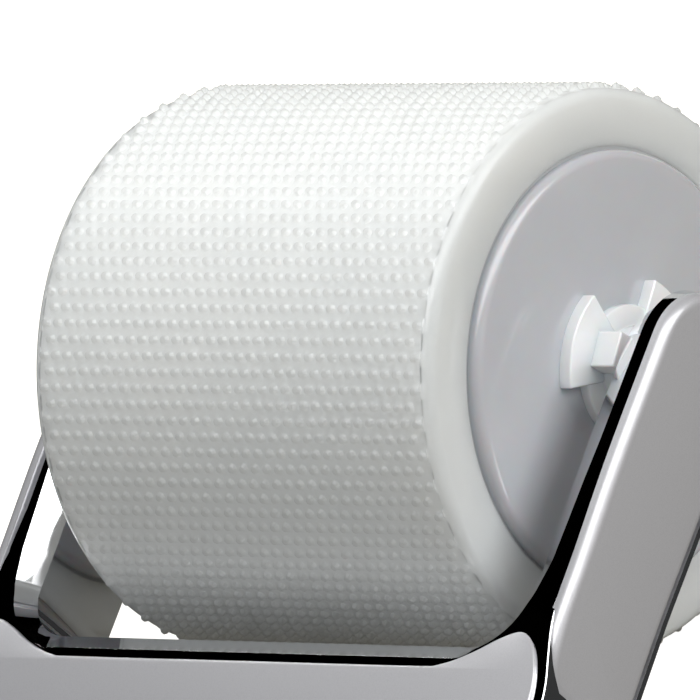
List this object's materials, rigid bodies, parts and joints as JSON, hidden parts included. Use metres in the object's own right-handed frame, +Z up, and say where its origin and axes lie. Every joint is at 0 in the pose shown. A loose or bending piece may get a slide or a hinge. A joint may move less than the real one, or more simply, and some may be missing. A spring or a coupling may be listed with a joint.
{
  "type": "hand roller",
  "caption": "Hand-held roller: nubbed translucent gel drum turning freely in a chromed Y-shaped yoke with glossy inlay pads and a slim curved handle.",
  "frame": {"origin": "centre of the object's box, on the surface it lies on", "axes": "+X along the drum's axle, +Y from the handle towards the drum, +Z up out of the front face while the roller lies on its back"},
  "size_m": [0.069, 0.1771, 0.0492],
  "materials": {
    "gel": "frosted translucent silicone covered in small nubs",
    "core_white": "plain white moulded tube",
    "cap_white": "glossy cool white, slightly translucent",
    "hub_white": "glossy bright white",
    "seal": "matt grey",
    "bush_ivory": "self-lubricating acetal",
    "washer_white": "plain acetal",
    "steel": "plain turned steel",
    "chrome": "mirror chrome plate",
    "pearl": "glossy pearl grey lacquer"
  },
  "bodies": {
    "handle": {"yoke": "chrome", "front_panel": "pearl", "back_panel": "pearl", "side_pad_left": "pearl", "side_pad_right": "pearl", "panel_screws": "steel", "axle": "steel", "axle_screw_left": "steel", "axle_screw_right": "steel", "thrust_washer_left": "washer_white", "thrust_washer_right": "washer_white"},
    "roller": {"gel_sleeve": "gel", "core_drum": "core_white", "end_cap_left": "cap_white", "end_cap_right": "cap_white", "cap_seal_left": "seal", "cap_seal_right": "seal", "hub_left": "hub_white", "hub_right": "hub_white", "bush_left": "bush_ivory", "bush_right": "bush_ivory", "spacer_tube": "steel"}
  },
  "joints": [
    {"name": "roller_spin", "type": "hinge", "parent": "handle", "child": "roller", "pos_m": [0, 0.06395, 0.0246], "axis": [1, 0, 0], "continuous": true}
  ]
}
